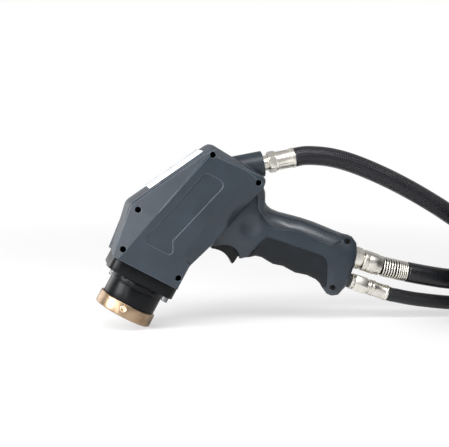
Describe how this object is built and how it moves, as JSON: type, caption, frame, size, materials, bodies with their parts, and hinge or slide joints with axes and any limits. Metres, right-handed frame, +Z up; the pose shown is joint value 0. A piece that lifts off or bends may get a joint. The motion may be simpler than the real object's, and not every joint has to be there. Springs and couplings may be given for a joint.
{
  "type": "handheld laser machine",
  "caption": "Handheld pulsed-laser gun with a wedge-shaped head, brass nose ring, pistol grip with trigger, and long hoses coiled beside it.",
  "frame": {"origin": "on the floor, under the middle of the gun's own box, its hoses left out", "axes": "+Z up, +X from the nose towards the handle's end and the hoses, +Y away from the side with the label recess; the gun stands on its nose ring's edge"},
  "size_m": [0.6208, 0.2654, 0.1877],
  "materials": {
    "housing": "satin moulded",
    "grip_rubber": "matte",
    "backstrap": "satin",
    "black_screws": "blackened",
    "inserts": "turned",
    "black_metal": "black anodised",
    "bright_screws": "knurled",
    "window_ring": "turned and polished",
    "glass": "coated optical glass",
    "seal": "matte",
    "frame_metal": "machined",
    "motor": "satin",
    "bright_steel": "ground",
    "mirror": "polished",
    "board": "solder mask",
    "components": "moulded",
    "trigger": "ribbed",
    "plunger": "moulded",
    "nickel": "nickel plated",
    "dark_steel": "threaded",
    "conduit": "smooth",
    "fibre_braid": "braided",
    "cable_sheath": "ribbed",
    "air_sheath": "smooth",
    "strap": "hook and loop"
  },
  "bodies": {
    "gun": {"left_shell": "housing", "right_shell": "housing", "grip_rubber": "grip_rubber", "backstrap": "backstrap", "shell_screws": "black_screws", "thread_inserts": "inserts", "lens_flange": "black_metal", "flange_screws": "bright_screws", "lens_barrel": "black_metal", "focus_lens_upper": "glass", "focus_lens_lower": "glass", "lens_spacer": "black_metal", "lens_retainer": "black_metal", "protective_window": "glass", "window_seal": "seal", "window_ring": "window_ring", "optics_frame": "frame_metal", "frame_screws": "bright_screws", "collimator_tube": "black_metal", "collimator_lens": "glass", "galvo_motor": "motor", "driver_board": "board", "board_parts": "components", "board_spacers": "inserts", "trigger_pin": "bright_steel", "trigger_spring": "bright_steel", "trigger_switch": "components", "switch_bracket": "frame_metal", "fibre_inlet": "nickel", "fibre_nut": "nickel", "fibre_ferrule": "nickel", "cable_nut": "nickel", "cable_ferrule": "nickel", "cable_core": "conduit", "cable_spring": "nickel", "air_nipple": "dark_steel", "air_locknut": "nickel", "air_body": "nickel", "air_ferrule": "nickel", "fibre_hose_free": "fibre_braid", "fibre_hose_coil": "fibre_braid", "cable_hose_free": "cable_sheath", "cable_hose_coil": "cable_sheath", "air_hose_free": "air_sheath", "air_hose_coil": "air_sheath", "fibre_plug": "nickel", "cable_plug": "nickel", "air_plug": "nickel", "coil_ties": "strap"},
    "trigger": {"trigger": "trigger"},
    "plunger": {"switch_plunger": "plunger"},
    "scanner": {"scanner_shaft": "bright_steel", "mirror_mount": "bright_steel", "swing_mirror": "mirror"}
  },
  "joints": [
    {"name": "trigger_pull", "type": "hinge", "parent": "gun", "child": "trigger", "pos_m": [-0.03844, 0, 0.09348], "axis": [0, -1, 0], "range_deg": [0, 12], "stiffness_Nm_per_rad": 0.6, "deforming": ["trigger_spring"]},
    {"name": "plunger_slide", "type": "slide", "parent": "gun", "child": "plunger", "axis": [0.4772, 0, 0.8788], "range_m": [0, 0.0021]},
    {"name": "mirror_scan", "type": "hinge", "parent": "gun", "child": "scanner", "pos_m": [-0.06454, 0, 0.15438], "axis": [0, 1, 0], "range_deg": [-10, 10], "stiffness_Nm_per_rad": 0.02}
  ],
  "couplings": [
    {"joint": "plunger_slide", "follows": "trigger_pull", "m_per_rad": 0.01}
  ]
}
